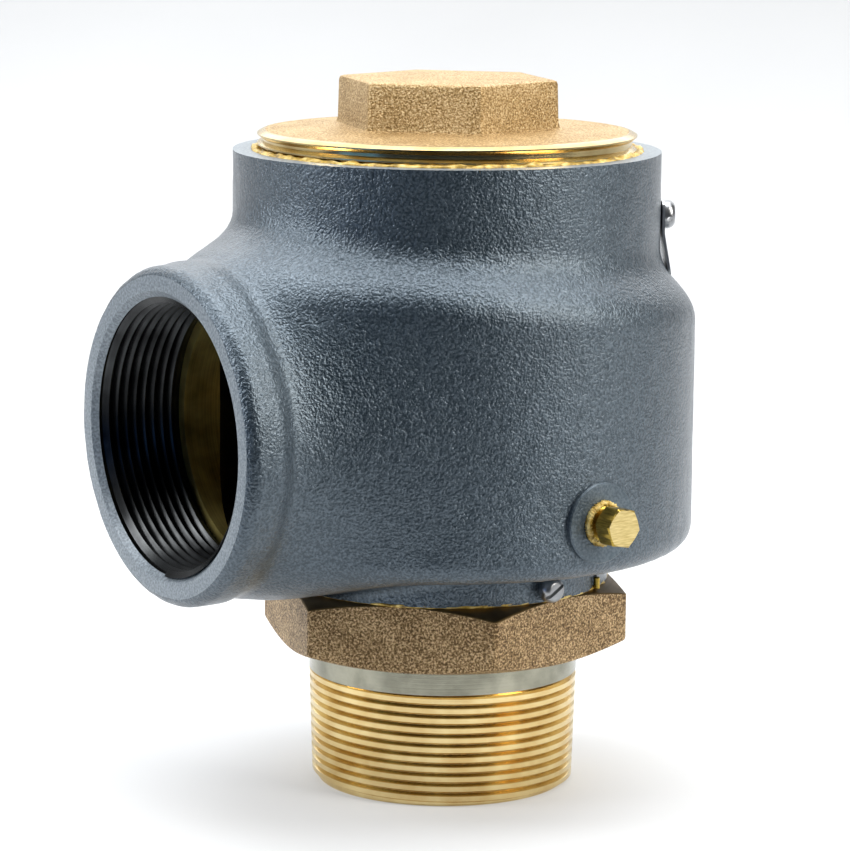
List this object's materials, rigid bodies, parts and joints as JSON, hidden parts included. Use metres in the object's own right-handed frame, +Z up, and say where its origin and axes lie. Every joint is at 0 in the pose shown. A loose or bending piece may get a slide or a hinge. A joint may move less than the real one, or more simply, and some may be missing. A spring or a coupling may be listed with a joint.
{
  "type": "pressure relief valve",
  "caption": "Angle-pattern pressure relief valve: cast body, hexagon inlet nozzle with male thread, threaded side outlet and a hexagon cap that loads the spring.",
  "frame": {"origin": "centre of the inlet nozzle's end face", "axes": "+Z up the valve's axis, -X out of the side outlet, -Y close to the ring lock plug"},
  "size_m": [0.128, 0.1187, 0.1578],
  "materials": {
    "grey_painted_iron": "sprayed paint over sand-cast grain",
    "cast_bronze": "as-cast, shot-blasted, with machined threads",
    "turned_bronze": "turned",
    "bright_brass": "machined",
    "bright_steel": "machined",
    "spring_steel": "oiled spring wire",
    "tag_metal": "rolled sheet"
  },
  "bodies": {
    "valve_body": {"body_casting": "grey_painted_iron", "inlet_nozzle": "cast_bronze", "regulating_ring": "turned_bronze", "ring_lock_plug": "bright_brass", "nozzle_lock_screw": "bright_steel", "nozzle_dowel_pin": "bright_brass", "guide": "turned_bronze", "guide_screws": "bright_steel", "name_tag": "tag_metal", "spring": "spring_steel"},
    "disc_assembly": {"disc": "turned_bronze", "disc_retaining_ring": "spring_steel", "disc_holder": "turned_bronze", "lower_pivot_ball": "bright_steel", "lower_spring_step": "bright_steel"},
    "spring_adjuster": {"upper_spring_step": "bright_steel", "upper_pivot_ball": "bright_steel"},
    "cap": {"cap": "cast_bronze"},
    "lock_slug": {"cap_lock_slug": "bright_brass"},
    "lock_screw": {"cap_lock_screw": "bright_steel"}
  },
  "joints": [
    {"name": "disc_lift", "type": "slide", "parent": "valve_body", "child": "disc_assembly", "axis": [0, 0, 1], "range_m": [0, 0.007], "stiffness_N_per_m": 27000, "springref_m": -0.0085, "deforming": ["spring"]},
    {"name": "cap_travel", "type": "slide", "parent": "valve_body", "child": "spring_adjuster", "axis": [0, 0, 1], "range_m": [-0.00212, 0.00212], "deforming": ["spring"]},
    {"name": "cap_turn", "type": "hinge", "parent": "spring_adjuster", "child": "cap", "pos_m": [0, 0, 0.1578], "axis": [0, 0, 1], "range_deg": [-360, 360]},
    {"name": "lock_travel", "type": "slide", "parent": "valve_body", "child": "lock_slug", "axis": [0.8545, -0.5195, 0], "range_m": [0, 0.00159]},
    {"name": "lock_turn", "type": "hinge", "parent": "lock_slug", "child": "lock_screw", "pos_m": [0.04042, -0.02457, 0.1277], "axis": [0.8545, -0.5195, 0], "range_deg": [0, 720]}
  ],
  "couplings": [
    {"joint": "cap_travel", "follows": "cap_turn", "m_per_rad": 0.00033688},
    {"joint": "lock_turn", "follows": "lock_travel", "rad_per_m": 7915.8}
  ]
}
